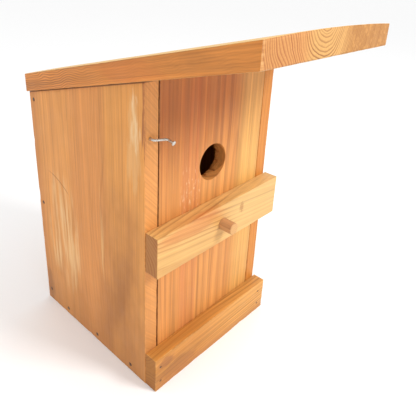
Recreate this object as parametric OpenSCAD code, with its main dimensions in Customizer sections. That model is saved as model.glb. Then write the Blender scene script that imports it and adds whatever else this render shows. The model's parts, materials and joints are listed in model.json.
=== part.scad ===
// Nest box for a hole-nesting bird, nailed up from planed softwood boards.
// X runs across the front, Y from the front to the back, Z upwards.
// The origin is the centre of the box's underside, on the underside of the floor.

/* [Box] */
// Width over the two side walls
box_w = 212; // [170:1:260]
// Depth of the side walls, front edge to back edge
box_d = 224; // [180:1:270]
// Height of the side walls at their front edge
front_h = 377; // [312:1:470]
// Slope of the roof, falling towards the back
roof_pitch = 14; // [5:0.5:20]

/* [Board thicknesses] */
// Side walls
wall_t = 18; // [14:0.5:24]
// Back board
back_t = 18; // [12:0.5:24]
// Floor board
floor_t = 18; // [14:0.5:24]
// Front panel
front_t = 18; // [12:0.5:22]
// Roof board, measured at its side edges
roof_t = 22.2; // [16:0.1:30]
// Extra thickness at the crown of the roof's top face
roof_crown = 2.7; // [0.5:0.1:5]

/* [Roof] */
// Overhang in front of the side walls
roof_front = 130; // [30:1:160]
// Overhang past the left wall
roof_left = 4; // [2:0.5:30]
// Overhang past the right wall
roof_right = 9; // [2:0.5:30]

/* [Front panel] */
// Gap between the panel and the left wall
gap_left = 1.2; // [0.5:0.1:3]
// Gap between the panel and the right wall
gap_right = 0.7; // [0.5:0.1:3]
// Gap under the roof, which lets the panel tip out
gap_top = 1.5; // [1:0.5:12]
// Diameter of the entrance hole
hole_d = 44.8; // [26:0.1:60]
// Height of the centre of the entrance hole
hole_z = 266.5; // [260:0.5:285]
// Sideways offset of the entrance hole
hole_x = -1.8; // [-10:0.1:10]

/* [Battens] */
// Thickness of the bottom batten, the lip that holds the foot of the panel
lip_t = 18; // [12:0.1:24]
// Height of the bottom batten
lip_h = 48; // [34:0.1:60]
// How far the bottom batten stops short of the left wall's outer face
lip_short_left = 0.6; // [0:0.1:4]
// How far the bottom batten passes the right wall's outer face
lip_past_right = 4; // [0:0.1:8]
// Thickness of the middle batten
mid_t = 19.5; // [14:0.1:26]
// Height of the underside of the middle batten
mid_z = 165.5; // [120:0.5:175]
// Height of the middle batten's left end
mid_h_left = 49.7; // [36:0.1:60]
// Height of the middle batten's right end
mid_h_right = 53.7; // [36:0.1:60]
// How far the middle batten stops short of the left wall's outer face
mid_short_left = 0.5; // [0:0.1:4]
// How far the middle batten passes the right wall's outer face
mid_past_right = 4; // [0:0.1:8]

/* [Perch] */
// Diameter of the perch dowel
perch_d = 15; // [8:0.5:18]
// How far the perch stands out of the middle batten
perch_out = 18; // [12:1:60]
// How deep the perch is let into the front panel
perch_in = 9; // [2:1:10]

/* [Latch] */
// Diameter of the bent nail
latch_d = 2.8; // [2:0.1:4]
// Distance of the nail from the left wall's outer face
latch_inset = 7.1; // [6:0.1:11]
// How far the nail is below the top of the wall's front edge
latch_drop = 58; // [40:1:80]
// Depth of the nail in the wall's front edge
latch_depth = 32; // [20:1:50]
// Distance from the wall's front edge to the middle of the nail's arm
latch_standoff = 5.6; // [4.5:0.1:8]
// Length of the arm that lies across the panel
latch_arm = 18.3; // [17:0.1:24]
// Length of the grip that stands out at the arm's end
latch_grip = 9.5; // [6:0.5:16]
// Radius of the nail's two bends, at its centre line
latch_bend = 2.6; // [2:0.1:3]
// How far the arm points below level when it is closed
latch_droop = 10; // [0:1:15]
// Diameter of the nail's head
latch_head_d = 6.2; // [4:0.1:8]

/* [Nails and screws] */
// Shank diameter of the nails in the walls and the roof
nail_d = 2.4; // [1.8:0.1:3]
// Head diameter of those nails
nail_head_d = 5; // [4:0.1:7]
// Length of those nails
nail_len = 48; // [40:1:60]
// Shank diameter of the bottom batten's brads
brad_d = 1.6; // [1.2:0.1:2]
// Head diameter of the brads
brad_head_d = 3; // [2:0.1:4]
// Length of the brads
brad_len = 38; // [30:1:45]
// Shank diameter of the screws that hold the middle batten
screw_d = 3.5; // [3:0.1:4.5]
// Head diameter of those screws
screw_head_d = 7; // [6:0.1:9]
// How far those screws reach into the middle batten
screw_bite = 12; // [8:0.5:13]

/* [Hanging holes] */
// Diameter of the two screw holes in the back board
hang_d = 6; // [4:0.5:10]
// Distance between those holes
hang_pitch = 180; // [100:5:200]
// Height of the point midway between them
hang_z = 165; // [150:5:180]

/* [Hidden] */

$fn = 48;
eps = 0.5;               // how far a cut runs past the face that it opens
fit = 0.05;              // radial clearance round a nail, a screw or the perch
nail_set = 0.3;          // how far a nail's head is sunk below the surface
head_t = 1.2;            // thickness of a nail's head
brad_head_t = 0.8;       // thickness of a brad's head
screw_head_t = 2.4;      // height of a countersunk head
edge_nails = 3;          // nails along each long edge
nail_margin = 18;        // nearest that a row of nails comes to a board's end
brad_rise = 12;          // height of the lower brads
brad_drop = 14.4;        // how far the upper brads are below the batten's top edge

front_y = -box_d / 2;
back_y = box_d / 2;
left_x = -box_w / 2;
right_x = box_w / 2;
inner_left = left_x + wall_t;
inner_right = right_x - wall_t;
inner_w = box_w - 2 * wall_t;
back_inner_y = back_y - back_t;
rise = tan(roof_pitch);

// Height of the roof's underside at a given Y
function roof_under(y) = front_h - (y - front_y) * rise;

// Evenly spaced values from a to b
function spread(a, b, n) = [for (i = [0 : n - 1]) a + (b - a) * i / (n - 1)];

panel_left = inner_left + gap_left;
panel_right = inner_right - gap_right;
panel_back = front_y + front_t;
mid_centre_z = mid_z + (mid_h_left + mid_h_right) / 4;

floor_nail_y = spread(front_y + brad_len - lip_t + nail_margin / 2, back_inner_y - 2 * nail_margin, edge_nails);
back_nail_z = spread(nail_margin, roof_under(back_y) - nail_margin / 2, edge_nails);
roof_nail_y = spread(front_y + nail_margin, back_inner_y - nail_margin, edge_nails);
back_row_x = inner_w / 2 - (nail_len - wall_t) - nail_margin / 2;   // just past the points of the wall's nails
brad_z = [brad_rise, lip_h - brad_drop];
screw_out_x = inner_w / 2 - nail_margin;
screw_x = [-screw_out_x, -screw_out_x / 2, screw_out_x / 2, screw_out_x];
latch_x = left_x + latch_inset;
latch_z = front_h - latch_drop;

wood_side = "peru";
wood_front = "sandybrown";
wood_pale = "burlywood";
steel = "silver";
dark_steel = "dimgray";

// A nail with its head at the top, pointing down -Z from the surface at Z = 0
module nail(len, d, head_d, thick) {
    tip = 1.5 * d;
    translate([0, 0, -nail_set - thick]) cylinder(h = thick, d = head_d);
    translate([0, 0, -nail_set - len + tip]) cylinder(h = len - tip - thick, d = d);
    translate([0, 0, -nail_set - len]) cylinder(h = tip, d1 = 0.4 * d, d2 = d);
}

// The hole that such a nail makes, with its head sunk
module nail_hole(len, d, head_d, thick) {
    translate([0, 0, -nail_set - thick]) cylinder(h = thick + nail_set + eps, d = head_d + 2 * fit);
    translate([0, 0, -nail_set - len - fit]) cylinder(h = len, d = d + 2 * fit);
}

module wall_nail() { nail(nail_len, nail_d, nail_head_d, head_t); }
module wall_nail_hole() { nail_hole(nail_len, nail_d, nail_head_d, head_t); }
module brad() { nail(brad_len, brad_d, brad_head_d, brad_head_t); }
module brad_hole() { nail_hole(brad_len, brad_d, brad_head_d, brad_head_t); }

// Places for each group of fasteners: children point into the wood

// side = -1 for the left wall, 1 for the right wall
module at_floor_nails(side) {
    for (y = floor_nail_y)
        translate([side * box_w / 2, y, floor_t / 2]) rotate([0, side * 90, 0]) children();
}

module at_back_nails(side) {
    for (z = back_nail_z)
        translate([side * box_w / 2, back_y - back_t / 2, z]) rotate([0, side * 90, 0]) children();
}

module at_back_floor_nails() {
    for (x = [-back_row_x, back_row_x])
        translate([x, back_y, floor_t / 2]) rotate([-90, 0, 0]) children();
}

// A point on the roof's top face, square to the roof's slope, above the underside at a given Y
module on_roof(x, y) {
    translate([x, y, roof_under(y)]) rotate([-roof_pitch, 0, 0])
        translate([0, 0, roof_top_at(x)]) children();
}

module at_roof_side_nails(side) {
    for (y = roof_nail_y) on_roof(side * (box_w - wall_t) / 2, y) children();
}

module at_roof_back_nails() {
    for (x = [-back_row_x, back_row_x]) on_roof(x, back_y - back_t / 2) children();
}

module at_brads() {
    for (x = [left_x + wall_t / 2, right_x - wall_t / 2], z = brad_z)
        translate([x, front_y - lip_t, z]) rotate([90, 0, 0]) children();
}

module at_batten_screws() {
    for (x = screw_x)
        translate([x, front_y + front_t, mid_centre_z]) rotate([-90, 0, 0]) children();
}

// Height of the roof's top face over its underside, across the board
roof_w = box_w + roof_left + roof_right;
roof_mid_x = (roof_right - roof_left) / 2;
crown_r = (roof_w * roof_w / 4 + roof_crown * roof_crown) / (2 * roof_crown);
crown_z = roof_t + roof_crown - crown_r;
function roof_top_at(x) = crown_z + sqrt(crown_r * crown_r - (x - roof_mid_x) * (x - roof_mid_x));

// A side wall with its foot at Z = 0, from x0 towards +X
module side_board(x0) {
    translate([x0, 0, 0]) rotate([90, 0, 90]) linear_extrude(wall_t)
        polygon([[front_y, 0], [back_y, 0], [back_y, roof_under(back_y)], [front_y, front_h]]);
}

module left_wall() color(wood_side) difference() {
    side_board(left_x);
    at_floor_nails(-1) wall_nail_hole();
    at_back_nails(-1) wall_nail_hole();
    at_roof_side_nails(-1) wall_nail_hole();
    at_brads() brad_hole();
    latch_hole();
}

module right_wall() color(wood_side) difference() {
    side_board(inner_right);
    at_floor_nails(1) wall_nail_hole();
    at_back_nails(1) wall_nail_hole();
    at_roof_side_nails(1) wall_nail_hole();
    at_brads() brad_hole();
}

module back_board() color(wood_side) difference() {
    translate([inner_left, 0, 0]) rotate([90, 0, 90]) linear_extrude(inner_w)
        polygon([[back_inner_y, 0], [back_y, 0], [back_y, roof_under(back_y)],
                 [back_inner_y, roof_under(back_inner_y)]]);
    at_back_nails(-1) wall_nail_hole();
    at_back_nails(1) wall_nail_hole();
    at_back_floor_nails() wall_nail_hole();
    at_roof_back_nails() wall_nail_hole();
    for (z = [hang_z - hang_pitch / 2, hang_z + hang_pitch / 2])
        translate([0, back_y + eps, z]) rotate([90, 0, 0]) cylinder(h = back_t + 2 * eps, d = hang_d);
}

module floor_board() color(wood_side) difference() {
    translate([inner_left, front_y, 0]) cube([inner_w, box_d - back_t, floor_t]);
    at_floor_nails(-1) wall_nail_hole();
    at_floor_nails(1) wall_nail_hole();
    at_back_floor_nails() wall_nail_hole();
}

// The board lies on the slope, its top face is an arc across the grain, and both ends are cut upright
module roof_board() color(wood_side) {
    length = (box_d + roof_front) / cos(roof_pitch);
    slack = roof_t + roof_crown;
    difference() {
        intersection() {
            translate([0, front_y, front_h]) rotate([-roof_pitch, 0, 0]) intersection() {
                translate([left_x - roof_left, -roof_front / cos(roof_pitch) - slack, 0])
                    cube([roof_w, length + 2 * slack, roof_t + roof_crown]);
                translate([roof_mid_x, length + slack, crown_z]) rotate([90, 0, 0])
                    cylinder(h = 2 * (length + slack), r = crown_r, $fn = 1440);
            }
            translate([left_x - roof_left - eps, front_y - roof_front, 0])
                cube([roof_w + 2 * eps, box_d + roof_front, 2 * front_h]);
        }
        at_roof_side_nails(-1) wall_nail_hole();
        at_roof_side_nails(1) wall_nail_hole();
        at_roof_back_nails() wall_nail_hole();
    }
}

module bottom_batten() color(wood_pale) difference() {
    translate([left_x + lip_short_left, front_y - lip_t, 0])
        cube([box_w - lip_short_left + lip_past_right, lip_t, lip_h]);
    at_brads() brad_hole();
}

// The panel's top is sawn to the roof's slope
module front_panel() color(wood_front) difference() {
    translate([panel_left, 0, 0]) rotate([90, 0, 90]) linear_extrude(panel_right - panel_left)
        polygon([[front_y, floor_t], [panel_back, floor_t], [panel_back, roof_under(panel_back) - gap_top],
                 [front_y, front_h - gap_top]]);
    translate([hole_x, front_y - eps, hole_z]) rotate([-90, 0, 0])
        cylinder(h = front_t + 2 * eps, d = hole_d, $fn = 96);
    perch_hole();
    at_batten_screws() screw_hole();
}

// The batten widens a little towards its right end, as it was sawn
module middle_batten() color(wood_pale) difference() {
    translate([0, front_y, 0]) rotate([90, 0, 0]) linear_extrude(mid_t)
        polygon([[left_x + mid_short_left, mid_z], [right_x + mid_past_right, mid_z],
                 [right_x + mid_past_right, mid_z + mid_h_right],
                 [left_x + mid_short_left, mid_z + mid_h_left]]);
    perch_hole();
    at_batten_screws() screw_hole();
}

module perch_dowel() color(wood_pale)
    translate([0, front_y + perch_in, mid_centre_z]) rotate([90, 0, 0])
        cylinder(h = perch_in + mid_t + perch_out, d = perch_d);

module perch_hole()
    translate([0, front_y + perch_in, mid_centre_z]) rotate([90, 0, 0])
        cylinder(h = perch_in + mid_t + eps, d = perch_d + 2 * fit);

// A countersunk screw, head up, pointing down -Z from the surface at Z = 0
module screw() {
    translate([0, 0, -screw_head_t]) cylinder(h = screw_head_t, d1 = screw_d, d2 = screw_head_d);
    translate([0, 0, -front_t - screw_bite]) cylinder(h = front_t + screw_bite - screw_head_t, d = screw_d);
}

module screw_hole() {
    translate([0, 0, -screw_head_t]) cylinder(h = screw_head_t + fit, d1 = screw_d + 2 * fit,
                                              d2 = screw_head_d + 4 * fit);
    translate([0, 0, -front_t - screw_bite - fit]) cylinder(h = front_t + screw_bite, d = screw_d + 2 * fit);
}

module middle_batten_screws() color(dark_steel) at_batten_screws() screw();

// A quarter bend in the XY plane, from -Y round to +X, starting at the origin
module nail_bend() {
    translate([latch_bend, 0, 0]) rotate([0, 0, 180]) rotate_extrude(angle = 90)
        translate([latch_bend, 0]) circle(d = latch_d);
}

// A nail bent twice: shank in the wall, arm across the panel, grip with the nail's head
module latch_nail() color(steel) translate([latch_x, front_y, latch_z]) rotate([0, latch_droop, 0]) {
    arm_y = -latch_standoff;
    bend_y = arm_y + latch_bend;
    translate([0, latch_depth, 0]) rotate([90, 0, 0]) cylinder(h = latch_depth - bend_y, d = latch_d);
    translate([0, bend_y, 0]) nail_bend();
    translate([latch_bend, arm_y, 0]) rotate([0, 90, 0])
        cylinder(h = latch_arm - 2 * latch_bend, d = latch_d);
    translate([latch_arm, arm_y - latch_bend, 0]) rotate([0, 0, 180]) nail_bend();
    translate([latch_arm, arm_y - latch_bend, 0]) rotate([90, 0, 0])
        cylinder(h = latch_grip - latch_bend, d = latch_d);
    translate([latch_arm, arm_y - latch_grip, 0]) rotate([90, 0, 0])
        cylinder(h = head_t, d = latch_head_d);
}

module latch_hole()
    translate([latch_x, front_y + latch_depth + fit, latch_z]) rotate([90, 0, 0])
        cylinder(h = latch_depth + fit + eps, d = latch_d + 2 * fit);

module left_floor_nails() color(dark_steel) at_floor_nails(-1) wall_nail();
module right_floor_nails() color(dark_steel) at_floor_nails(1) wall_nail();
module left_back_nails() color(dark_steel) at_back_nails(-1) wall_nail();
module right_back_nails() color(dark_steel) at_back_nails(1) wall_nail();
module back_floor_nails() color(dark_steel) at_back_floor_nails() wall_nail();
module left_roof_nails() color(steel) at_roof_side_nails(-1) wall_nail();
module right_roof_nails() color(steel) at_roof_side_nails(1) wall_nail();
module back_roof_nails() color(steel) at_roof_back_nails() wall_nail();
module bottom_batten_brads() color(dark_steel) at_brads() brad();

left_wall();
right_wall();
back_board();
floor_board();
roof_board();
bottom_batten();
front_panel();
middle_batten();
perch_dowel();
latch_nail();
left_floor_nails();
right_floor_nails();
left_back_nails();
right_back_nails();
back_floor_nails();
left_roof_nails();
right_roof_nails();
back_roof_nails();
bottom_batten_brads();
middle_batten_screws();
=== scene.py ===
import json
import math

import bmesh
import bpy
from mathutils import Matrix, Quaternion, Vector, noise


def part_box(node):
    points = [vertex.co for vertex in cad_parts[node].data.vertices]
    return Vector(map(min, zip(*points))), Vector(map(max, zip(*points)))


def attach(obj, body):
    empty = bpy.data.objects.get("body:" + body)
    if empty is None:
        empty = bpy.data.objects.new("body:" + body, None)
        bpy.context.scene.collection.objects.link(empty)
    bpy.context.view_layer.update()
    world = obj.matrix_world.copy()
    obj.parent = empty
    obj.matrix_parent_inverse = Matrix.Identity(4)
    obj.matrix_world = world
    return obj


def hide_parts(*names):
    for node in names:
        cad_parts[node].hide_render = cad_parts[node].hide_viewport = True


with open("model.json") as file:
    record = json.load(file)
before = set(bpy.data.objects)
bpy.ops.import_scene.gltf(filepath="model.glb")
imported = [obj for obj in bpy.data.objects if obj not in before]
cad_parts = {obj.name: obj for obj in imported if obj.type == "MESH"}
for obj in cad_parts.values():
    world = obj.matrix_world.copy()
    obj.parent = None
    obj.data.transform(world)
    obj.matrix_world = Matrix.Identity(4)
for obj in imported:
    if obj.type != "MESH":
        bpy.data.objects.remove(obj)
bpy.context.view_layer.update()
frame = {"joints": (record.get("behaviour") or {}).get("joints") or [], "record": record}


# ==== Left side wall ====
# A planed softwood board with upright grain, sawn to the roof's slope at its top and brushed with
# orange stain. It stands outside the floor and the back board and is nailed to both of them.

MM = 0.001
EASE = 0.7 * MM              # how far the plane and handling have rounded a board's edges
SEAM_INSET = 2.4 * MM        # first cut across a face, next to its rounded edge
FACE_PITCH = 7 * MM          # distance between the cuts that let a face wander
WANDER = 0.22 * MM           # how far a planed face strays from flat
WANDER_SIZE = 45 * MM        # size of the swells in a planed face
CHIP = 0.9 * MM              # depth of the deepest dents along an edge
CHIP_SIZE = 9 * MM           # distance between dents
CHIP_SPARE = 0.15            # how much of an edge the dents leave alone, out of 1
ON_FACE = 0.985              # cosine between normals above which a point is on a face, not an edge

wall_low, wall_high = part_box("left_wall")
back_low, back_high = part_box("back_board")
fall = (wall_high.z - back_high.z) / (back_low.y - wall_low.y)     # drop of the roof for its depth
roof_seat = (Vector((0, wall_low.y, wall_high.z)), Vector((0, fall, 1)).normalized())


def card(red, green, blue):
    """A colour as a paint card gives it, from 0 to 255, as the light it reflects."""
    return tuple(((c / 255 + 0.055) / 1.055) ** 2.4 for c in (red, green, blue))


def stations(low, high):
    """Places for the cuts across a board along one axis: close to both edges and evenly in between."""
    first, last = low + SEAM_INSET, high - SEAM_INSET
    count = max(1, round((last - first) / FACE_PITCH))
    return [first + (last - first) * i / count for i in range(count + 1)]


def everything(bm):
    """All of a mesh, for a cut to go through."""
    return bm.verts[:] + bm.edges[:] + bm.faces[:]


def sliced(bm, low, high):
    """Cuts the faces into a grid, so that they can bend."""
    for axis in range(3):
        normal = Vector((axis == 0, axis == 1, axis == 2))
        for place in stations(low[axis], high[axis]):
            bmesh.ops.bisect_plane(bm, geom=everything(bm), plane_co=normal * place, plane_no=normal)


def worn(bm, seed, chip=CHIP):
    """Presses the faces in unevenly by a fraction of a millimetre, and dents the edges."""
    bm.normal_update()
    moves = []
    for v in bm.verts:
        depth = WANDER * (1 + noise.noise(v.co / WANDER_SIZE + Vector((seed, 0, 0)))) / 2
        if min(v.normal.dot(f.normal) for f in v.link_faces) < ON_FACE:
            dent = noise.noise(v.co / CHIP_SIZE + Vector((0, seed, 0)))
            depth += chip * max(0.0, dent - CHIP_SPARE)
        moves.append((v, v.normal * depth))
    for v, move in moves:
        v.co -= move


def eased(bm, edges, size):
    """Rounds edges off."""
    bmesh.ops.bevel(bm, geom=edges, offset=size, segments=2, profile=0.5, affect="EDGES", material=-1)


def sawn(bm, place, outward):
    """Saws a board off along a plane and closes the cut."""
    bmesh.ops.bisect_plane(bm, geom=everything(bm), plane_co=place, plane_no=outward, clear_outer=True)
    bmesh.ops.holes_fill(bm, edges=bm.edges[:])


def board(low, high, seed, roof=None, chip=CHIP):
    """A sawn board between two corners, cut along the roof's slope where one is given."""
    bm = bmesh.new()
    bmesh.ops.create_cube(bm, size=1)
    bmesh.ops.scale(bm, vec=high - low, verts=bm.verts)
    bmesh.ops.translate(bm, vec=(low + high) / 2, verts=bm.verts)
    if roof:
        sawn(bm, *roof)
        bmesh.ops.recalc_face_normals(bm, faces=bm.faces)
    eased(bm, bm.edges[:], EASE)
    sliced(bm, low, high)
    worn(bm, seed, chip)
    return bm


def shaded(mesh, crease=math.radians(38)):
    """Smooth faces that stay crisp along every edge sharper than the crease."""
    bm = bmesh.new()
    bm.from_mesh(mesh)
    for face in bm.faces:
        face.smooth = True
    for edge in bm.edges:
        edge.smooth = len(edge.link_faces) == 2 and edge.calc_face_angle(0) < crease
    bm.to_mesh(mesh)
    bm.free()


def piece(name, bm, finish, body, nodes):
    """Makes a mesh a piece of the object that stands for CAD nodes and rides on a body."""
    mesh = bpy.data.meshes.new(name)
    bm.to_mesh(mesh)
    bm.free()
    shaded(mesh)
    made = bpy.data.objects.new(name, mesh)
    bpy.context.scene.collection.objects.link(made)
    mesh.materials.append(finish)
    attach(made, body)
    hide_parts(*nodes)
    return made


class Value:
    """A number, colour or vector in a material; arithmetic on numbers adds Math nodes."""

    def __init__(self, finish, socket):
        self.finish = finish
        self.socket = socket

    def math(self, operation, *others):
        sockets = dict(enumerate((self, *others)))
        return self.finish.make("ShaderNodeMath", {"operation": operation}, sockets)

    def __add__(self, other):
        return self.math("ADD", other)

    def __sub__(self, other):
        return self.math("SUBTRACT", other)

    def __rsub__(self, other):
        return self.math("MULTIPLY", -1).math("ADD", other)

    def __mul__(self, other):
        return self.math("MULTIPLY", other)

    def __truediv__(self, other):
        return self.math("DIVIDE", other)

    __radd__ = __add__
    __rmul__ = __mul__


class Finish:
    """A material while it is put together."""

    def __init__(self, name):
        self.material = bpy.data.materials.new(name)
        self.material.use_nodes = True
        self.tree = self.material.node_tree
        self.tree.nodes.clear()
        here = self.make("ShaderNodeTexCoord", {}, {}, "Object")
        self.place = self.vector("SCALE", here, **{"Scale": 1 / MM})
        self.facing = self.make("ShaderNodeTexCoord", {}, {}, "Normal")

    def make(self, kind, settings, sockets, output=0):
        """Adds a node, with its settings first and then the values or links of its sockets."""
        node = self.tree.nodes.new(kind)
        for name, setting in settings.items():
            setattr(node, name, setting)
        for key, given in sockets.items():
            if isinstance(given, Value):
                self.tree.links.new(given.socket, node.inputs[key])
            else:
                node.inputs[key].default_value = given
        return None if output is None else Value(self, node.outputs[output])

    def vector(self, operation, first, second=None, output=0, **named):
        """Adds a Vector Math node."""
        sockets = {0: first, **named}
        if second is not None:
            sockets[1] = second
        return self.make("ShaderNodeVectorMath", {"operation": operation}, sockets, output)

    def sized(self, where, size):
        """A vector measured in units of a size, for a cloud whose patches are that large."""
        return self.vector("SCALE", where, **{"Scale": 1 / size})

    def mix(self, first, second, share, blend="MIX"):
        """One colour turned towards another."""
        settings = {"data_type": "RGBA", "blend_type": blend}
        first, second = (c if isinstance(c, Value) else (*c, 1) for c in (first, second))
        return self.make("ShaderNodeMix", settings, {0: share, 6: first, 7: second}, 2)

    def rise(self, value, low, high):
        """0 below low, 1 above high, and a smooth step between them."""
        sockets = {"Value": value, "From Min": low, "From Max": high}
        return self.make("ShaderNodeMapRange", {"interpolation_type": "SMOOTHSTEP"}, sockets)

    def cloud(self, where, detail=2.0):
        """Noise about 0, mostly within 0.5 either way, on a vector already in its own units."""
        sockets = {"Vector": where, "Scale": 1.0, "Detail": detail, "Roughness": 0.55}
        return (self.make("ShaderNodeTexNoise", {}, sockets) - 0.5) * 2

    def ripple(self, along, detail=1.0):
        """Noise about 0 along a single number."""
        sockets = {"W": along, "Scale": 1.0, "Detail": detail, "Roughness": 0.5}
        return (self.make("ShaderNodeTexNoise", {"noise_dimensions": "1D"}, sockets) - 0.5) * 2

    def surface(self, colour, rough, relief, metal=0.0, gloss=0.35):
        """Joins the parts to a shader and gives the material. Relief is in millimetres."""
        bump = self.make("ShaderNodeBump", {}, {"Height": relief, "Strength": 1.0, "Distance": MM})
        sockets = {"Base Color": colour, "Roughness": rough, "Normal": bump}
        sockets.update({"Metallic": metal, "Specular IOR Level": gloss})
        shader = self.make("ShaderNodeBsdfPrincipled", {}, sockets)
        self.make("ShaderNodeOutputMaterial", {}, {"Surface": shader}, None)
        return self.material


X, Y, Z = range(3)           # to the right, to the back, and up
UPRIGHT = Vector((0, 0, 1))
AMBER = card(244, 236, 206)  # the tint that the clear coat adds
FADED = 0.15                 # how far a whole board has faded towards the colour of its rubbed edges


class Wood(Finish):
    """Stained softwood, drawn as rings round the tree's pith right through the board, so that its faces,
    edges and ends agree. Lengths are in millimetres, in the object's own frame."""

    def __init__(self, name, grain, pith, ring, seed, light, dark, ring_depth=0.6, drift=1.0):
        super().__init__(name)
        self.seed = seed
        turn = grain.rotation_difference(UPRIGHT).to_matrix()
        sockets = {"Vector": self.place, "Location": -(turn @ Vector(pith)), "Rotation": turn.to_euler()}
        self.log = self.make("ShaderNodeMapping", {}, sockets)
        flat = self.vector("MULTIPLY", self.log, (1, 1, 0))
        wave = self.streak(70, 420, 1) * 14 * drift + self.streak(16, 130, 1) * 2.4 * drift
        self.radius = self.vector("LENGTH", flat, output="Value") + wave
        count = self.radius / ring
        count = count + self.ripple(count * 0.23) * 0.9
        share = count.math("FRACT")
        late = self.rise(share, 0.4, 0.86) * (1 - self.rise(share, 0.9, 1.0))
        self.late = late * (0.55 + self.ripple(count * 0.41) * 0.9).math("MAXIMUM", 0.12)
        along = self.vector("DOT_PRODUCT", self.facing, grain, "Value").math("ABSOLUTE")
        self.end = self.rise(along, 0.6, 0.8)
        self.colour = self.mix(light, dark, self.late * ring_depth)
        self.relief = self.late * 0.04

    def streak(self, across, along, detail=2.0, shift=0.0):
        """Noise drawn out along the grain."""
        size = (1 / across, 1 / across, 1 / along)
        where = self.vector("MULTIPLY", self.log, size)
        offset = self.seed * 3.7 + across + shift
        return self.cloud(self.vector("ADD", where, (offset, offset * 0.6, -offset)), detail)

    def threads(self, across, along, detail, low, high):
        """0 and 1 in ragged threads along the grain: low and high set how many there are."""
        return self.rise(self.streak(across, along, detail), low, high)

    def tint(self, colour, share, blend="MIX"):
        """Turns the colour towards another."""
        self.colour = self.mix(self.colour, colour, share, blend)

    def shade(self, amount):
        """Makes the colour lighter or darker by a share of itself."""
        self.colour = self.vector("SCALE", self.colour, **{"Scale": amount + 1.0})

    def patch(self, centre, size, ragged=0.5, core=0.45):
        """1 inside a soft ragged spot and 0 outside it. A smaller core fades out more slowly."""
        away = self.vector("SUBTRACT", self.place, centre)
        away = self.vector("DIVIDE", away, size)
        distance = self.vector("LENGTH", away, output="Value")
        edge = self.cloud(self.vector("MULTIPLY", away, (1.7, 1.7, 1.7)), 3) * ragged
        return 1 - self.rise(distance + edge, core, 1.05)

    def band(self, axis, low, high, soft=3.0, wander=6.0):
        """1 between two planes across an axis, with edges that wander along the grain."""
        part = self.make("ShaderNodeSeparateXYZ", {}, {0: self.place}, axis)
        part = part + self.streak(28, 240, 1, shift=9.0) * wander
        return self.rise(part, low - soft, low + soft) * (1 - self.rise(part, high - soft, high + soft))

    def turned_to(self, direction):
        """1 where the surface faces a direction."""
        return self.rise(self.vector("DOT_PRODUCT", self.facing, direction, "Value"), 0.6, 0.8)

    def saw_marks(self, direction, across, pitch=2.6, depth=0.5):
        """Fine slanting lines that the saw left on one face: across is the way from line to line."""
        along = self.vector("DOT_PRODUCT", self.place, across.normalized() / pitch, "Value")
        marks = self.ripple(along, 2) * self.turned_to(direction)
        self.shade(marks * depth)
        self.relief = self.relief + marks * 0.08

    def seam(self):
        """Painted shadow: a dark strip along the top of a wall, just under the roof, where wall and roof
        meet in shade.
        """
        y, z = (self.make("ShaderNodeSeparateXYZ", {}, {0: self.place}, i) for i in (Y, Z))
        depth = wall_high.z / MM - z - (y - wall_low.y / MM) * fall
        self.tint(card(84, 44, 24), (1 - self.rise(depth, 0.8, 2.2)) * 0.8)

    def fibres(self, fine=0.14, broad=0.16):
        """Fine fibres and broad streaks along the grain, and blotches where the stain took unevenly."""
        side = 1 - self.end
        hair = self.streak(1.8, 150, 2) * side
        self.shade(hair * fine + self.streak(6, 420, 2) * side * broad)
        self.shade(self.cloud(self.sized(self.log, 34), 3) * 0.08)
        self.relief = self.relief + hair * 0.02
        self.shade(self.late * self.end * -0.22)
        speck = self.cloud(self.sized(self.place, 1.8), 2)
        self.shade(speck * self.end * 0.16 + speck * 0.02)
        self.relief = self.relief + speck * (self.end * 0.08 + 0.01)

    def rubbed(self, low, high, colour, sloped=False, share=0.55):
        """Stain worn off, unevenly, along a board's edges, and faded a little all over."""
        x, y, z = (self.make("ShaderNodeSeparateXYZ", {}, {0: self.place}, i) for i in range(3))
        top = z + (y - wall_low.y / MM) * fall if sloped else z
        near = [(p - low[i] / MM).math("MINIMUM", high[i] / MM - q)
                for i, (p, q) in enumerate(((x, x), (y, y), (z, top)))]
        first = near[0].math("MINIMUM", near[1])
        second = near[0].math("MAXIMUM", near[1]).math("MINIMUM", near[2])
        edge = first.math("MAXIMUM", second)
        rag = self.cloud(self.sized(self.place, 7), 3)
        self.tint(colour, FADED * share)
        self.tint(colour, (1 - self.rise(edge, 0.3, 1.6)) * self.rise(rag, -0.25, 0.35) * share)

    def finish(self):
        """Gives the finished material, with uneven satin stain under an amber clear coat."""
        self.tint(AMBER, 1.0, "MULTIPLY")
        sheen = self.cloud(self.sized(self.log, 22), 2)
        return self.surface(self.colour, sheen * 0.12 + self.end * 0.15 + 0.52, self.relief)


FORWARD = Vector((0, -1, 0))
SCRATCH_CENTRE = (-106, 92, 130)     # a curved scratch across the grain, drawn round this point
SCRATCH_RADIUS = 92                  # both in millimetres
left_grain = Wood("left_wall_stain_painted_shade", UPRIGHT, pith=(-62, 46, 0), ring=5.2, seed=1.0,
                  light=card(228, 160, 96), dark=card(180, 116, 62), ring_depth=0.5, drift=1.5)
left_grain.tint(card(224, 158, 88), left_grain.band(Y, -140, -44, 5, 8) * 0.5)
left_grain.tint(card(186, 116, 70), left_grain.band(Y, -50, -30, 6, 12) * 0.28)
left_grain.tint(card(206, 130, 78), left_grain.band(Y, -34, 20, 12, 16) * 0.35)
left_grain.tint(card(178, 110, 62), left_grain.band(Y, 98, 130, 6, 8) * 0.45)
left_grain.fibres(0.28, 0.2)
arch = left_grain.patch((-106, 52, 130), (34, 44, 100), 0.6) * left_grain.threads(6, 90, 3, -0.2, 0.35)
left_grain.tint(card(246, 214, 178), arch * 0.75)
pale_line = left_grain.patch((-106, -34, 170), (20, 5, 80), 0.7) * left_grain.threads(3, 70, 2, -0.2, 0.4)
left_grain.tint(card(236, 196, 150), pale_line * 0.7)
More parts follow.
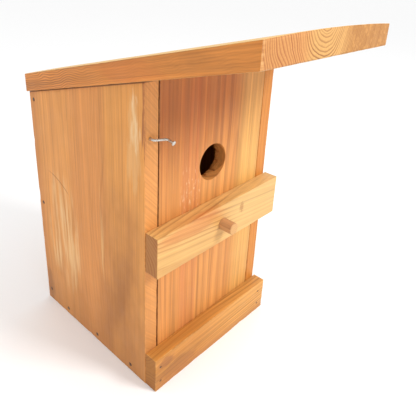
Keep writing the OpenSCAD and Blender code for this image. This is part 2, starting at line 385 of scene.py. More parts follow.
# Painted shade: the lower front half of the wall is darkened.
painted_low_shade = left_grain.patch((-106, -72, 90), (40, 66, 165), 0.8, -0.1)
left_grain.tint(card(132, 76, 34), painted_low_shade * 0.72)
# Painted shade: the wall is darker towards its foot.
left_grain.tint(card(178, 122, 78), left_grain.band(Z, -60, 60, 70, 10) * 0.6)
left_grain.tint(card(132, 84, 56), left_grain.patch((-106, 104, 24), (20, 12, 34), 0.6) * 0.5)
scuff = left_grain.patch((-106, -98, 328), (14, 9, 34), 1.1) * left_grain.threads(4, 24, 3, -0.4, 0.5)
left_grain.tint(card(250, 230, 210), scuff * 0.75)
left_grain.tint(card(236, 200, 160), left_grain.patch((-106, -94, 300), (14, 12, 56), 0.9) * 0.35)
left_grain.tint(card(126, 58, 34), left_grain.patch((-106, -111, 340), (3, 3.4, 52), 1.2) * 0.7)
from_turn = left_grain.vector("SUBTRACT", left_grain.place, SCRATCH_CENTRE)
from_turn = left_grain.vector("MULTIPLY", from_turn, (0, 1, 1))
off_line = left_grain.vector("LENGTH", from_turn, output="Value") - SCRATCH_RADIUS
scratch = 1 - left_grain.rise(off_line.math("ABSOLUTE"), 0.3, 1.2)
scratch = scratch * left_grain.patch((-106, 58, 214), (20, 34, 26), 0.6)
left_grain.tint(card(140, 84, 48), scratch * 0.6)
left_grain.saw_marks(FORWARD, Vector((1, 0, 0.9)))
left_grain.tint(card(206, 142, 96), left_grain.turned_to(FORWARD) * 0.5)
left_grain.rubbed(wall_low, wall_high, card(232, 166, 104), sloped=True)
# Painted shadow along the top of the wall, under the roof.
left_grain.seam()
left_wall = piece("left_side", board(wall_low, wall_high, 1, roof_seat, chip=1.4 * MM), left_grain.finish(),
                  "case", ["left_wall"])


# ==== Right side wall ====
# The same planed softwood board on the other side, nailed to the floor and the back board too. It was
# cut from another part of the tree, so its rings lie closer. Its front edge shows beside the panel.

right_low, right_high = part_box("right_wall")
right_grain = Wood("right_wall_stain_painted_shade", UPRIGHT, pith=(140, -30, 0), ring=3.4, seed=2.0,
                   light=card(204, 134, 62), dark=card(166, 92, 40), ring_depth=0.6)
right_grain.fibres()
right_grain.tint(card(176, 112, 66), right_grain.patch((106, 30, 120), (40, 60, 120), 0.8) * 0.3)
right_grain.rubbed(right_low, right_high, card(226, 164, 102), sloped=True)
# Painted shadow along the top of the wall, under the roof.
right_grain.seam()
right_wall = piece("right_side", board(right_low, right_high, 2, roof_seat), right_grain.finish(),
                   "case", ["right_wall"])


# ==== Back board ====
# A softwood board nailed between the side walls, flush with their back edges. Two screws through it
# hang the box up, so it has a hole high and a hole low on its middle line. A knot shows in it.

HANG_DIAMETER = 6 * MM
HANG_PITCH = 180 * MM
ROUND_STEPS = 20
TOUCHING = 1e-6              # points nearer than this are one
hang_mount = next(m for m in frame["record"]["mounts"] if m["name"] == "hanging_holes")
hang_middle = Vector(hang_mount["pos_m"])
back_grain = Wood("back_board_stain", UPRIGHT, pith=(12, 160, 0), ring=4.8, seed=3.0,
                  light=card(214, 150, 92), dark=card(168, 102, 54), ring_depth=0.6)
back_grain.fibres()
back_grain.tint(card(150, 84, 46), back_grain.patch((38, 112, 226), (7, 12, 9), 0.4) * 0.85)
back_grain.rubbed(back_low, back_high, card(226, 164, 104), sloped=True)
back_wall = piece("back", board(back_low, back_high, 3, roof_seat), back_grain.finish(), "case",
                  ["back_board"])


def bored(wood, cutters):
    """Cuts the holes for nails, screws, the perch or the birds out of a board."""
    tool_mesh = bpy.data.meshes.new("tool")
    cutters.to_mesh(tool_mesh)
    cutters.free()
    tool = bpy.data.objects.new("tool", tool_mesh)
    bpy.context.scene.collection.objects.link(tool)
    cut = wood.modifiers.new("cut", "BOOLEAN")
    cut.operation = "DIFFERENCE"
    cut.solver = "MANIFOLD"
    cut.object = tool
    graph = bpy.context.evaluated_depsgraph_get()
    graph.update()
    mesh = bpy.data.meshes.new_from_object(wood.evaluated_get(graph))
    wood.modifiers.clear()
    wood.data = mesh
    bpy.data.objects.remove(tool)
    shaded(mesh)


def lathe(bm, outline, at, direction, steps=ROUND_STEPS):
    """Adds a round solid: an outline of (radius, depth) points, turned about the axis it ends on."""
    turned = bmesh.new()
    verts = [turned.verts.new((radius, 0, -depth)) for radius, depth in outline]
    edges = [turned.edges.new(pair) for pair in zip(verts, verts[1:])]
    bmesh.ops.spin(turned, geom=verts + edges, cent=(0, 0, 0), axis=(0, 0, 1), angle=math.tau,
                   steps=steps, use_merge=True)
    bmesh.ops.remove_doubles(turned, verts=turned.verts, dist=TOUCHING)
    bmesh.ops.recalc_face_normals(turned, faces=turned.faces)
    turn = Vector((0, 0, -1)).rotation_difference(direction).to_matrix().to_4x4()
    turned.transform(Matrix.Translation(at) @ turn)
    joined(bm, turned)


def joined(bm, other):
    """Adds one mesh to another."""
    carrier = bpy.data.meshes.new("carrier")
    other.to_mesh(carrier)
    other.free()
    bm.from_mesh(carrier)
    bpy.data.meshes.remove(carrier)


def at_each(points, outline, steps=ROUND_STEPS):
    """One round solid at each point, turned to the point's direction."""
    bm = bmesh.new()
    for at, direction in points:
        lathe(bm, outline, at, direction, steps)
    return bm


hang_spots = [(Vector((hang_middle.x, back_high.y, hang_middle.z + side * HANG_PITCH / 2)), FORWARD)
              for side in (-1, 1)]
worn_hole = [(0, -1 * MM), (HANG_DIAMETER / 2 + 1.8 * MM, -1 * MM), (HANG_DIAMETER / 2, 0.8 * MM),
             (HANG_DIAMETER / 2, 20 * MM), (0, 20 * MM)]
bored(back_wall, at_each(hang_spots, worn_hole))


# ==== Floor board ====
# A softwood board nailed between the side walls and in front of the back board, level with their
# feet. The front panel stands on it.

floor_low, floor_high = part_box("floor_board")
floor_grain = Wood("floor_board_stain", Vector((1, 0, 0)), pith=(0, 40, -60), ring=5.0, seed=4.0,
                   light=card(200, 138, 86), dark=card(160, 98, 54), ring_depth=0.5)
floor_grain.fibres()
floor_grain.rubbed(floor_low, floor_high, card(212, 152, 96))
bottom = piece("floor", board(floor_low, floor_high, 4), floor_grain.finish(),
               "case", ["floor_board"])


# ==== Wall nails ====
# Round wire nails, driven through the side walls into the floor and the back board and through the
# back board into the floor. Their heads are set just below the surface and have gone dark.

NAIL_SHANK = 2.4 * MM
NAIL_HEAD = 5 * MM
NAIL_HEAD_THICK = 1.2 * MM
NAIL_LENGTH = 48 * MM
NAIL_SET = 0.3 * MM          # how far a nail's head is driven below the surface
CLEAR = 0.05 * MM            # room round a fastener in its hole
INTO_LEFT = Vector((1, 0, 0))
INTO_RIGHT = Vector((-1, 0, 0))


def nail_outline(length, shank, head, thick):
    """A round wire nail from its slightly domed head down to its point."""
    rim, end = 0.25 * MM, NAIL_SET + length
    return [(0, NAIL_SET - 0.15 * MM), (head / 2 - 2 * rim, NAIL_SET - 0.05 * MM),
            (head / 2, NAIL_SET + rim), (head / 2, NAIL_SET + thick - rim), (shank / 2, NAIL_SET + thick),
            (shank / 2, end - 1.5 * shank), (0.2 * shank, end), (0, end)]


def hole_outline(length, shank, head, thick):
    """The hole that the nail makes, with the fibres round its head crushed into a dish."""
    dish = 0.5 * MM
    return [(0, -1 * MM), (head / 2 + 2 * dish, -1 * MM), (head / 2 + dish, 0), (head / 2 + CLEAR, dish),
            (head / 2 + CLEAR, NAIL_SET + thick), (shank / 2 + CLEAR, NAIL_SET + thick),
            (shank / 2 + CLEAR, NAIL_SET + length + CLEAR), (0, NAIL_SET + length + CLEAR)]


def evenly(low, high, count):
    """A number of places at equal distances, the ends among them."""
    return [low + (high - low) * i / (count - 1) for i in range(count)]


def nail_row(node, into, along, count):
    """Where the nails of a CAD node go into the surface: evenly spaced along one axis of its box."""
    low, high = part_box(node)
    start = (low + high) / 2
    for axis in range(3):
        if into[axis]:
            start[axis] = low[axis] - NAIL_SET if into[axis] > 0 else high[axis] + NAIL_SET
    points = []
    for place in evenly(low[along] + NAIL_HEAD / 2, high[along] - NAIL_HEAD / 2, count):
        point = start.copy()
        point[along] = place
        points.append((point, Vector(into)))
    return points


WALL_NAIL = (NAIL_LENGTH, NAIL_SHANK, NAIL_HEAD, NAIL_HEAD_THICK)


def driven(name, rows, size, finish, slot, nodes, *through):
    """Bores the boards that a group of nails goes through and puts the nails in."""
    for wood in through:
        bored(wood, at_each(rows, hole_outline(*size)))
    piece(name, at_each(rows, nail_outline(*size)), finish, "case", nodes)


def old_steel(name):
    """Bare steel that has gone dull brown, with rust in spots."""
    metal = Finish(name)
    rust = metal.rise(metal.cloud(metal.sized(metal.place, 1.6), 3), -0.1, 0.3)
    colour = metal.mix(card(92, 84, 78), card(96, 54, 32), rust)
    return metal.surface(colour, rust * 0.35 + 0.42, rust * 0.05, metal=0.7, gloss=0.5)


dark_nail = old_steel("dark_nail_steel")
for name, node, into, along, count, boards in (
        ("floor_nails_left", "left_floor_nails", INTO_LEFT, Y, 3, (left_wall, bottom)),
        ("floor_nails_right", "right_floor_nails", INTO_RIGHT, Y, 3, (right_wall, bottom)),
        ("back_nails_left", "left_back_nails", INTO_LEFT, Z, 3, (left_wall, back_wall)),
        ("back_nails_right", "right_back_nails", INTO_RIGHT, Z, 3, (right_wall, back_wall)),
        ("floor_nails_back", "back_floor_nails", FORWARD, X, 2, (back_wall, bottom))):
    driven(name, nail_row(node, into, along, count), WALL_NAIL, dark_nail, "dark_steel", [node], *boards)


# ==== Roof board ====
# One wide softwood plank with its grain from front to back, thicker at its middle because its top was
# left slightly crowned. Its ends are cut upright. It is nailed down on the walls and the back board.

roof_low, roof_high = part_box("roof_board")
pitch = math.atan(fall)
slope_down = Vector((0, math.cos(pitch), -math.sin(pitch)))
slope_up = Vector((0, math.sin(pitch), math.cos(pitch)))
roof_middle = (roof_high.x + roof_low.x) / 2
roof_half = (roof_high.x - roof_low.x) / 2
CROWN = 2.7 * MM             # how much thicker the plank is at its middle than at its sides
CROWN_PITCH = 8 * MM         # width of the strips that make the crown's curve
ROOF_EASE = 1.0 * MM         # how far its edges are rounded off
RIDGE = math.radians(40)     # edges sharper than this are rounded off
front_under = wall_high.z + (wall_low.y - roof_low.y) * fall
roof_thick = (roof_high.z - front_under) * math.cos(pitch) - CROWN


def crown(x):
    return CROWN * (1 - ((x - roof_middle) / roof_half) ** 2)


def on_roof(x, y, height):
    """A point at a height over the roof's underside, square to its slope."""
    return Vector((x, y, wall_high.z - (y - wall_low.y) * fall)) + slope_up * height


plank = bmesh.new()
plank_length = (roof_high.y - roof_low.y) / math.cos(pitch) + 4 * roof_thick
bmesh.ops.create_cube(plank, size=1)
bmesh.ops.scale(plank, vec=(2 * roof_half, plank_length, roof_thick), verts=plank.verts)
bmesh.ops.translate(plank, vec=(roof_middle, 0, roof_thick / 2), verts=plank.verts)
strips = round(2 * roof_half / CROWN_PITCH)
edge_strips = [roof_low.x + SEAM_INSET, roof_high.x - SEAM_INSET]
for x in edge_strips + [roof_low.x + 2 * roof_half * i / strips for i in range(1, strips)]:
    bmesh.ops.bisect_plane(plank, geom=everything(plank), plane_co=(x, 0, 0), plane_no=(1, 0, 0))
for v in plank.verts:
    if v.co.z > roof_thick / 2:
        v.co.z += crown(v.co.x)
roof_centre = on_roof(0, (roof_low.y + roof_high.y) / 2, 0)
plank.transform(Matrix.Translation(Vector((0, roof_centre.y, roof_centre.z)))
                @ Matrix.Rotation(-pitch, 4, "X"))
for y, side in ((roof_low.y, -1), (roof_high.y, 1)):
    sawn(plank, (0, y, 0), (0, side, 0))
sharp = [e for e in plank.edges if e.calc_face_angle(0) > RIDGE]
eased(plank, sharp, ROOF_EASE)
for y in stations(roof_low.y, roof_high.y):
    bmesh.ops.bisect_plane(plank, geom=everything(plank), plane_co=(0, y, 0), plane_no=(0, 1, 0))
for level in (SEAM_INSET, roof_thick / 2, roof_thick - SEAM_INSET):
    seat = on_roof(0, 0, level)
    bmesh.ops.bisect_plane(plank, geom=everything(plank), plane_co=seat, plane_no=slope_up)
worn(plank, 5)

PITH_ABOVE = 9 * MM          # the tree's middle ran just over the plank's top, left of its middle line
PITH_LEFT = 19 * MM
pith_point = on_roof(-PITH_LEFT, roof_low.y, roof_thick + CROWN + PITH_ABOVE) / MM
roof_grain = Wood("roof_stain_painted_light", slope_down, pith=pith_point, ring=3.0, seed=5.0,
                  light=card(212, 166, 112), dark=card(140, 80, 42), ring_depth=1.0, drift=0.7)
side_face = roof_grain.turned_to(Vector((-1, 0, 0))) + roof_grain.turned_to(Vector((1, 0, 0)))
painted_lit_top = roof_grain.turned_to(slope_up)
roof_grain.tint(card(220, 139, 66), side_face * 0.85)
height = roof_grain.vector("DOT_PRODUCT", roof_grain.place, slope_up, "Value")
swell = roof_grain.cloud(roof_grain.vector("MULTIPLY", roof_grain.place, (0, 1 / 42, 1 / 30)), 1) * 7
contour = ((height + swell) / 2.3).math("FRACT")
contour = roof_grain.rise(contour, 0.3, 0.8) * (1 - roof_grain.rise(contour, 0.85, 1.0))
far_end = roof_grain.band(Y, -20, 200, 70, 10) * 0.45 + 0.12
roof_grain.tint(card(122, 66, 36), contour * side_face * far_end)
reddened = roof_grain.patch((-110, -60, 390), (20, 90, 24), 0.8)
roof_grain.tint(card(196, 112, 60), reddened * side_face * 0.36)
roof_grain.fibres(0.34, 0.4)
smudge = roof_grain.patch((-110, -196, 397), (20, 62, 18), 0.9) * roof_grain.threads(7, 60, 3, -0.5, 0.4)
roof_grain.tint(card(130, 92, 60), smudge * side_face * 0.24)
pin_knot = roof_grain.patch((-110, -74, 402), (6, 4, 3.4), 0.5)
roof_grain.tint(card(104, 60, 36), pin_knot * side_face * 0.7)
red_end = roof_grain.band(X, -130, -46, 14, 4) * roof_grain.end
roof_grain.tint(card(190, 104, 66), red_end * 0.35)
# Painted highlight: pale streaks on the end grain at the roof's left corner.
painted_corner_highlight = roof_grain.rise(roof_grain.ripple(height * 0.35, 2), -0.2, 0.3)
painted_corner_highlight = roof_grain.band(X, -130, -106, 1.5, 0) * painted_corner_highlight
roof_grain.tint(card(250, 206, 160), painted_corner_highlight * roof_grain.end * 0.3)
mottle = roof_grain.cloud(roof_grain.sized(roof_grain.place, 5), 3)
ochre_end = roof_grain.band(X, 22, 130, 14, 4) * roof_grain.end
roof_grain.tint(card(160, 104, 48), ochre_end * 0.68)
roof_grain.tint(card(206, 154, 98), ochre_end * roof_grain.rise(mottle, -0.1, 0.4) * 0.6)
# Painted highlight: the roof's top face is made much paler, as the light from above falls on it.
roof_grain.tint(card(250, 214, 146), painted_lit_top * 0.6)
roof = piece("roof", plank, roof_grain.finish(), "case", ["roof_board"])


def zinc(name):
    """Galvanised steel wire: pale grey, with a fine frosting."""
    metal = Finish(name)
    frost = metal.cloud(metal.sized(metal.place, 0.8), 3)
    colour = metal.mix(card(214, 212, 206), card(158, 154, 148), metal.rise(frost, -0.3, 0.5))
    return metal.surface(colour, frost * 0.12 + 0.34, frost * 0.04, metal=0.85, gloss=0.5)


NAIL_MARGIN = 18 * MM        # from the end of a seat to the first roof nail on it
bright_nail = zinc("roof_nail_zinc")
side_rows = evenly(wall_low.y + NAIL_MARGIN, back_low.y - NAIL_MARGIN, 3)
back_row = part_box("back_roof_nails")
back_columns = (back_row[0].x + NAIL_HEAD / 2, back_row[1].x - NAIL_HEAD / 2)
left_line = (wall_low.x + wall_high.x) / 2
back_line = (back_low.y + back_high.y) / 2
for name, node, spots, under in (
        ("roof_nails_left", "left_roof_nails", [(left_line, y) for y in side_rows], left_wall),
        ("roof_nails_right", "right_roof_nails", [(-left_line, y) for y in side_rows], right_wall),
        ("roof_nails_back", "back_roof_nails", [(x, back_line) for x in back_columns], back_wall)):
    rows = [(on_roof(x, y, roof_thick + crown(x)), -slope_up) for x, y in spots]
    driven(name, rows, WALL_NAIL, bright_nail, "bright_steel", [node], roof, under)


# ==== Bottom batten ====
# A sawn softwood strip across the foot of the front, which keeps the front panel in. Two thin brads at
# each end go through it into the side walls' front edges. A knot was cut through near its left end.

lip_low, lip_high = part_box("bottom_batten")
lip_grain = Wood("bottom_batten_stain", Vector((1, 0, 0.02)), pith=(0, -90, 70), ring=3.6, seed=6.0,
                 light=card(212, 156, 90), dark=card(150, 90, 42), ring_depth=0.8)
lip_grain.tint(card(186, 116, 44), lip_grain.band(X, -140, 10, 60, 6) * 0.55)
knot = lip_grain.patch((-88, -128, 36), (17, 14, 9), 0.5)
lip_grain.tint(card(140, 84, 54), knot * 0.65)
lip_grain.tint(card(146, 88, 50), lip_grain.patch((-66, -128, 16), (46, 12, 14), 0.9) * 0.5)
lip_grain.fibres(0.34, 0.3)
lip_grain.tint(card(168, 106, 62), lip_grain.band(Z, -10, 9, 6, 3) * 0.45)
lip_grain.tint(card(128, 74, 32), lip_grain.end * 0.5)
lip_grain.rubbed(lip_low, lip_high, card(232, 182, 124), share=0.45)
lip = piece("lip", board(lip_low, lip_high, 6, chip=1.3 * MM), lip_grain.finish(),
            "case", ["bottom_batten"])

BRAD = (38 * MM, 1.6 * MM, 3 * MM, 0.8 * MM)         # length, shank, head and the head's thickness
brad_low, brad_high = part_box("bottom_batten_brads")
brad_radius = BRAD[2] / 2
INWARD = Vector((0, 1, 0))
brad_spots = [(Vector((x, lip_low.y, z)), INWARD)
              for x in (brad_low.x + brad_radius, brad_high.x - brad_radius)
              for z in (brad_low.z + brad_radius, brad_high.z - brad_radius)]
driven("lip_brads", brad_spots, BRAD, dark_nail, "dark_steel", ["bottom_batten_brads"],
       lip, left_wall, right_wall)


# ==== Front panel ====
# One wide upright softwood board between the side walls. It stands on the floor behind the bottom
# batten and tips out at its top. The entrance was bored from the front, so its back rim is splintered.

panel_low, panel_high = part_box("front_panel")
panel_grain = Wood("front_panel_stain_painted_shade", UPRIGHT, pith=(48, -60, 0), ring=8.6, seed=7.0,
                   light=card(214, 150, 92), dark=card(142, 80, 38), ring_depth=0.75)
panel_grain.tint(card(202, 132, 80), panel_grain.band(X, -100, -40, 24, 6) * 0.35)
red_band = panel_grain.band(X, -50, -22, 5, 8)
panel_grain.tint(card(196, 118, 82), red_band * panel_grain.threads(9, 160, 2, -0.5, 0.3) * 0.55)
flecks = red_band * panel_grain.band(Z, 190, 270, 14, 6) * panel_grain.threads(2.5, 9, 2, 0.1, 0.5)
panel_grain.tint(card(234, 200, 176), flecks * 0.7)
panel_grain.tint(card(224, 180, 114), panel_grain.band(X, 46, 100, 12, 8) * 0.65)
# Painted shadow: the top of the panel under the roof's overhang is darkened, less at its right.
painted_roof_shadow = panel_grain.band(Z, 300, 400, 60, 14) * (1 - panel_grain.band(X, 40, 100, 30, 6) * 0.6)
panel_grain.tint(card(164, 79, 4), painted_roof_shadow * 0.74)
panel_grain.tint(card(200, 130, 70), panel_grain.band(Z, -20, 110, 50, 10) * 0.25)
panel_grain.fibres(0.34, 0.42)
# Painted shade: a dark strip along the panel's left edge, in the narrow gap against the left wall.
panel_grain.tint(card(90, 46, 26), panel_grain.band(X, -140, panel_low.x / MM + 0.6, 0.7, 0) * 0.85)
panel_grain.rubbed(panel_low, panel_high, card(226, 170, 108), share=0.3)
panel_top = (Vector((0, panel_low.y, panel_high.z)), roof_seat[1])
panel = piece("front_board", board(panel_low, panel_high, 7, panel_top), panel_grain.finish(),
              "front", ["front_panel"])

entrance = next(m for m in frame["record"]["mounts"] if m["name"] == "entrance_hole")
entrance_radius = entrance["dims"]["r_mm"] * MM
entrance_at = Vector(entrance["pos_m"])
SPLINTER_STEPS = 120
RIM = 0.6 * MM               # the entrance's front rim is sanded back by this much
SPLINTER_DEEP = 9 * MM       # how far the splinters at the back rim reach into the hole
SPLINTER_WIDE = 2.4 * MM     # how far they tear past it
panel_thick = panel_high.y - panel_low.y
drill = bmesh.new()
lathe(drill, [(0, -1 * MM), (entrance_radius + RIM + 1 * MM, -1 * MM), (entrance_radius, RIM),
              (entrance_radius, panel_thick / 2), (entrance_radius, panel_thick - SPLINTER_DEEP / 2),
              (entrance_radius + SPLINTER_WIDE / 2, panel_thick + 1 * MM), (0, panel_thick + 1 * MM)],
      Vector((entrance_at.x, panel_low.y, entrance_at.z)), INWARD, SPLINTER_STEPS)
for v in drill.verts:
    spoke = Vector((v.co.x - entrance_at.x, 0, v.co.z - entrance_at.z))
    into = v.co.y - panel_low.y
    if into > panel_thick * 0.6 and spoke.length > entrance_radius / 2:
        spoke.normalize()
        tear = 0.6 * noise.noise(spoke * 5.5 + Vector((3, 0, 1))) + noise.noise(spoke * 24)
        if into > panel_thick:
            v.co += spoke * SPLINTER_WIDE * max(-0.4, tear)
        else:
            v.co.y -= SPLINTER_DEEP * max(-0.45, tear)
bored(panel, drill)


# ==== Middle batten ====
# A softwood strip across the panel and over both walls' edges, where it stops the panel from falling
# in. It was sawn a little wider at its right end, and four countersunk screws hold it from inside.

BATTEN_TAPER = 4 * MM        # how much wider the batten is at its right end
batten_low, batten_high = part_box("middle_batten")
batten_top = (Vector((batten_high.x, 0, batten_high.z)),
              Vector((-BATTEN_TAPER, 0, batten_high.x - batten_low.x)).normalized())
batten_grain = Wood("middle_batten_stain", Vector((1, 0, -0.09)), pith=(0, -78, 150), ring=4.4, seed=8.0,
                    light=card(222, 178, 124), dark=card(150, 92, 50), ring_depth=0.8, drift=0.6)
batten_grain.tint(card(220, 186, 138), batten_grain.band(X, 10, 130, 26, 8) * 0.6)
smooth_red = batten_grain.patch((-52, -131, 206), (66, 20, 12), 0.5)
batten_grain.tint(card(206, 138, 88), smooth_red * 0.75)
batten_grain.tint(card(204, 120, 74), batten_grain.patch((-26, -131, 214), (26, 12, 5), 0.6) * 0.5)
batten_grain.tint(card(146, 92, 56), batten_grain.patch((36, -131, 200), (5, 10, 9), 0.7) * 0.5)
batten_grain.fibres(0.24, 0.18)
batten_grain.tint(card(150, 82, 40), batten_grain.end * 0.72)
batten_grain.rubbed(batten_low, batten_high, card(236, 190, 130), share=0.4)
batten = piece("front_batten", board(batten_low, batten_high, 8, batten_top), batten_grain.finish(),
               "front", ["middle_batten"])

SCREW_SHANK = 3.5 * MM
SCREW_HEAD = 7 * MM
SCREW_SINK = 2.4 * MM        # height of the countersunk head
SCREW_BITE = 12 * MM         # how far the screws reach into the batten
SCREW_TURNS = 12
screw_low, screw_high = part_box("middle_batten_screws")
outer_screw = screw_high.x - SCREW_HEAD / 2
screw_spots = [(Vector((x, panel_high.y, (screw_low.z + screw_high.z) / 2)), FORWARD)
               for x in (-outer_screw, -outer_screw / 2, outer_screw / 2, outer_screw)]


def screw_outline(clear):
    """A countersunk wood screw: head, plain neck, and a stepped thread down to its point."""
    shank, end = SCREW_SHANK / 2 + clear, panel_thick + SCREW_BITE + clear
    top = -1 * MM if clear else 0.1 * MM
    head = SCREW_HEAD / 2 + clear
    outline = [(0, top), (head, top), (head, 0.3 * MM), (shank, SCREW_SINK)]
    if not clear:
        thread = evenly(panel_thick / 2, end - 3 * MM, SCREW_TURNS)
        gap = thread[1] - thread[0]
        outline += [(shank * size, depth + shift * gap) for depth in thread
                    for size, shift in ((0.72, 0), (0.98, 0.3), (0.72, 0.6))]
    return outline + [(shank, end - 2 * MM), (0.3 * shank, end), (0, end)]


for wood in (panel, batten):
    bored(wood, at_each(screw_spots, screw_outline(CLEAR)))
piece("batten_screws", at_each(screw_spots, screw_outline(0)), dark_nail,
      "front", ["middle_batten_screws"])


# ==== Perch ====
# A short dowel of paler wood, pushed through the middle batten into the panel and sawn off by hand at
# its outer end, with its edges worn round.

perch_low, perch_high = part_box("perch_dowel")
perch_radius = (perch_high.x - perch_low.x) / 2
perch_at = Vector(((perch_low.x + perch_high.x) / 2, perch_high.y, (perch_low.z + perch_high.z) / 2))
perch_length = perch_high.y - perch_low.y
PERCH_EASE = 0.8 * MM
PERCH_STEPS = 40
perch_grain = Wood("perch_stain", Vector((0, 1, 0)), pith=(7, 0, 176), ring=2.2, seed=9.0,
                   light=card(206, 160, 126), dark=card(160, 106, 78), ring_depth=0.6, drift=0.3)
perch_grain.fibres(0.2, 0.26)
perch_grain.tint(card(226, 182, 128), perch_grain.end * 0.4)
rings = [(perch_radius, d * MM) for d in range(2, round(perch_length / MM) - 1, 3)]
dowel = bmesh.new()
lathe(dowel, [(0, 0), (perch_radius - PERCH_EASE, 0), (perch_radius, PERCH_EASE), *rings,
              (perch_radius, perch_length - PERCH_EASE), (perch_radius - PERCH_EASE, perch_length),
              (0, perch_length)], perch_at, FORWARD, PERCH_STEPS)
worn(dowel, 9, chip=1.2 * MM)
bore, depth = perch_radius + CLEAR, perch_length + 1 * MM
for wood in (panel, batten):
    bored(wood, at_each([(perch_at, FORWARD)], [(0, 0), (bore, 0), (bore, depth), (0, depth)], PERCH_STEPS))
piece("perch", dowel, perch_grain.finish(), "front", ["perch_dowel"])


# ==== Latch nail ====
# A galvanised nail driven into the left wall's front edge and bent twice by hand. Its arm lies across
# the edge of the panel, and its end stands out to be turned with a finger.

latch_joint = next(j for j in frame["joints"] if j["name"] == "latch_turn")
latch_at = Vector(latch_joint["pos_m"])
WIRE = 1.4 * MM              # the nail's radius
BEND = 2.6 * MM              # radius of its bends
STANDOFF = 5.6 * MM          # from the wall to the middle of the arm
ARM = 18.3 * MM
GRIP = 9 * MM                # length of the end that the finger turns
LATCH_DEEP = 32 * MM         # how far it is driven in
DROOP = math.radians(10)     # how far the arm hangs from level
GRIP_WAY = Vector((0.1, -0.93, -0.2)).normalized()
LATCH_HEAD = 2.5 * MM        # its head's radius
TAPER = 4 * MM               # length of its point
TIP = 0.4                    # how wide the point's end is, of the wire


def ring_edges(edges):
    return [e for e in edges if isinstance(e, bmesh.types.BMEdge)]


def drawn(bm, ring, reach, swell=1.0):
    """Carries a ring of edges on by a distance, and widens or narrows it about its own centre."""
    made = bmesh.ops.extrude_edge_only(bm, edges=ring)["geom"]
    verts = [g for g in made if isinstance(g, bmesh.types.BMVert)]
    bmesh.ops.translate(bm, verts=verts, vec=reach)
    centre = sum((v.co for v in verts), Vector()) / len(verts)
    bmesh.ops.scale(bm, verts=verts, vec=(swell,) * 3, space=Matrix.Translation(-centre))
    fresh = set(verts)
    return [e for e in made if isinstance(e, bmesh.types.BMEdge) and all(v in fresh for v in e.verts)]


def bent(bm, ring, at, way, new_way, steps=8):
    """Bends the wire from one direction to another round a corner at a point."""
    axis = way.cross(new_way).normalized()
    made = bmesh.ops.spin(bm, geom=ring, cent=at + axis.cross(way) * BEND, axis=axis,
                          angle=way.angle(new_way), steps=steps)
    return ring_edges(made["geom_last"])


across = Vector((1, 0, 0))
wire = bmesh.new()
deep_end = Matrix.Translation((0, LATCH_DEEP, 0)) @ Matrix.Rotation(math.pi / 2, 4, "X")
tip = bmesh.ops.create_circle(wire, cap_ends=True, radius=WIRE * TIP, segments=16, matrix=deep_end)
ring = list({e for v in tip["verts"] for e in v.link_edges})
ring = drawn(wire, ring, FORWARD * TAPER, 1 / TIP)
ring = drawn(wire, ring, FORWARD * (LATCH_DEEP - TAPER + STANDOFF - BEND))
ring = bent(wire, ring, Vector((0, BEND - STANDOFF, 0)), FORWARD, across)
for _ in range(3):
    ring = drawn(wire, ring, across * (ARM - 2 * BEND) / 3)
ring = bent(wire, ring, Vector((ARM - BEND, -STANDOFF, 0)), across, GRIP_WAY)
ring = drawn(wire, ring, GRIP_WAY * (GRIP - BEND - 3 * MM))
for _ in range(3):
    ring = drawn(wire, ring, GRIP_WAY * 0.3 * MM, 1.06)
    ring = drawn(wire, ring, GRIP_WAY * 0.35 * MM, 1 / 1.06)
ring = drawn(wire, ring, GRIP_WAY * 0.5 * MM)
ring = drawn(wire, ring, GRIP_WAY * 0.3 * MM, LATCH_HEAD / WIRE)
ring = drawn(wire, ring, GRIP_WAY * 0.9 * MM, 1.04)
ring = drawn(wire, ring, GRIP_WAY * 0.25 * MM, 0.86)
bmesh.ops.edgeloop_fill(wire, edges=ring)
bmesh.ops.remove_doubles(wire, verts=wire.verts, dist=TOUCHING)
bmesh.ops.recalc_face_normals(wire, faces=wire.faces)
wire.transform(Matrix.Translation(latch_at) @ Matrix.Rotation(DROOP, 4, "Y"))
socket = [(0, -1 * MM), (WIRE + 1.0 * MM, -1 * MM), (WIRE + CLEAR, 0.6 * MM),
          (WIRE + CLEAR, LATCH_DEEP + CLEAR), (0, LATCH_DEEP + CLEAR)]
bored(left_wall, at_each([(latch_at, INWARD)], socket))
piece("turn_nail", wire, zinc("turn_nail_zinc"), "latch", ["latch_nail"])


# ==== Studio ====
# A plain pale floor under an even white sky, with one soft lamp high in front of the box, a little to
# its right. The camera stands to the left of the front and looks down on the box.

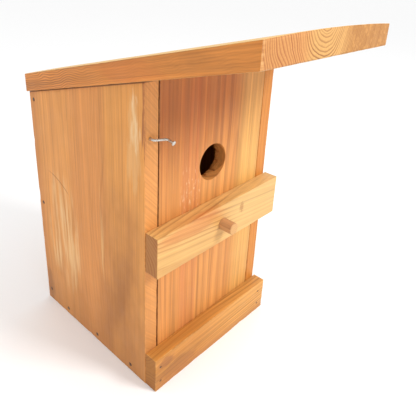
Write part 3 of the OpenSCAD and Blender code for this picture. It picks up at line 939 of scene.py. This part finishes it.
FLOOR_REACH = 60
floor = bmesh.new()
bmesh.ops.create_grid(floor, x_segments=1, y_segments=1, size=FLOOR_REACH)
mesh = bpy.data.meshes.new("studio_floor")
floor.to_mesh(mesh)
floor.free()
ground = bpy.data.objects.new("studio_floor", mesh)
bpy.context.scene.collection.objects.link(ground)
paper = Finish("studio_paper")
tooth = paper.cloud(paper.place, 1) * 0.01
mesh.materials.append(paper.surface((0.96, 0.96, 0.96, 1), 0.9, tooth, gloss=0.1))

world = bpy.data.worlds.new("studio")
bpy.context.scene.world = world
world.use_nodes = True
sky = world.node_tree.nodes["Background"]
sky.inputs["Color"].default_value = (1, 1, 1, 1)
sky.inputs["Strength"].default_value = 1.0

LAMP_TURN = math.radians(22)           # to the right of straight in front
LAMP_LIFT = math.radians(40)
LAMP_AIM = Vector((0, -0.1, 0.22))
LAMP_AWAY = 1.8
lamp_way = Vector((math.sin(LAMP_TURN) * math.cos(LAMP_LIFT), -math.cos(LAMP_TURN) * math.cos(LAMP_LIFT),
                   math.sin(LAMP_LIFT)))
light = bpy.data.lights.new("key", "AREA")
light.size = 0.5
light.energy = 20
lamp = bpy.data.objects.new("key", light)
lamp.location = LAMP_AIM + lamp_way * LAMP_AWAY
lamp.rotation_euler = (-lamp_way).to_track_quat("-Z", "Y").to_euler()
bpy.context.scene.collection.objects.link(lamp)

CAMERA_PLACE = Vector((-0.3689, -0.4227, 0.4746))
CAMERA_VIEW = Vector((0.69682, 0.61504, -0.36901))
CAMERA_ROLL = math.radians(2.89)
camera = bpy.data.cameras.new("camera")
camera.lens = 38.77
camera.sensor_width = 36
camera.shift_x = 0.0065
camera.shift_y = -0.1447
camera.clip_start = 0.01
viewer = bpy.data.objects.new("camera", camera)
viewer.location = CAMERA_PLACE
viewer.rotation_mode = "QUATERNION"
viewer.rotation_quaternion = CAMERA_VIEW.to_track_quat("-Z", "Y") @ Quaternion((0, 0, 1), CAMERA_ROLL)
bpy.context.scene.collection.objects.link(viewer)
bpy.context.scene.camera = viewer
bpy.context.scene.view_settings.view_transform = "Standard"
